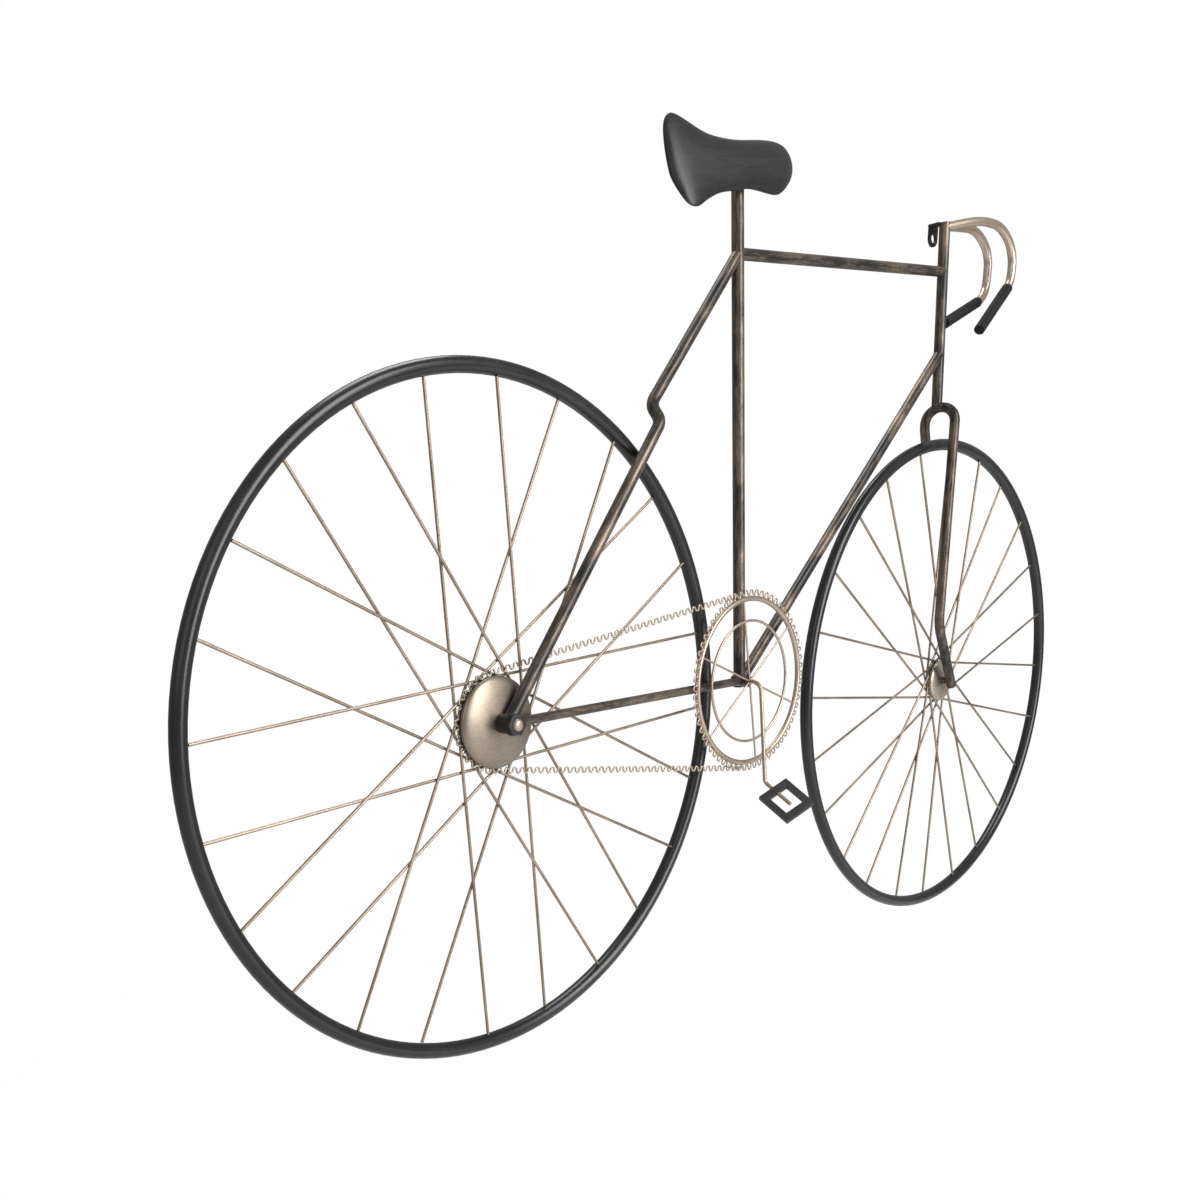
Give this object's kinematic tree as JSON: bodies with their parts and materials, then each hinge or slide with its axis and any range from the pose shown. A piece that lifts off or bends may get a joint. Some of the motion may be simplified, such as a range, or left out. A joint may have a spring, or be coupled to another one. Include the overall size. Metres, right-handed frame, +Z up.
{
  "type": "wall-hung model bicycle",
  "caption": "Wall-hung metal model bicycle in bent rod, with wire wheels that turn on their axles, a wavy wire chain, a saddle, dropped handlebars and hanging tabs.",
  "frame": {"origin": "centre of the hole in the front hanging tab, in the middle of the tab's thickness", "axes": "+X forward along the bicycle, +Y towards the wall, +Z up"},
  "size_m": [1.0003, 0.0871, 0.6282],
  "materials": {
    "frame_metal": "rubbed dark bronze over black",
    "champagne_metal": "brushed champagne bronze",
    "black_metal": "satin black",
    "tyre_black": "satin black tube",
    "grip_black": "matt",
    "charcoal_metal": "brushed charcoal"
  },
  "bodies": {
    "frame": {"seat_rod": "frame_metal", "top_tube": "frame_metal", "head_rod": "frame_metal", "down_tube": "frame_metal", "seat_stay": "frame_metal", "chain_stay": "frame_metal", "bottom_pin": "frame_metal", "fork": "frame_metal", "handlebar": "champagne_metal", "grip_right": "grip_black", "grip_left": "grip_black", "hanger_front": "black_metal", "hanger_rear": "black_metal", "saddle": "charcoal_metal", "rear_axle": "champagne_metal", "rear_eye": "frame_metal", "rear_nut": "black_metal", "front_axle": "frame_metal", "chainring": "champagne_metal", "ring_teeth": "champagne_metal", "chain": "champagne_metal", "crank": "champagne_metal", "pedal": "black_metal"},
    "rear_wheel": {"rear_tyre": "tyre_black", "rear_spokes": "champagne_metal", "rear_hub": "champagne_metal"},
    "front_wheel": {"front_tyre": "tyre_black", "front_spokes": "champagne_metal", "front_hub": "champagne_metal"}
  },
  "joints": [
    {"name": "rear_wheel_spin", "type": "hinge", "parent": "frame", "child": "rear_wheel", "pos_m": [-0.52, -0.011, -0.3845], "axis": [0, 1, 0], "continuous": true},
    {"name": "front_wheel_spin", "type": "hinge", "parent": "frame", "child": "front_wheel", "pos_m": [0.0424, -0.011, -0.3845], "axis": [0, 1, 0], "continuous": true}
  ]
}
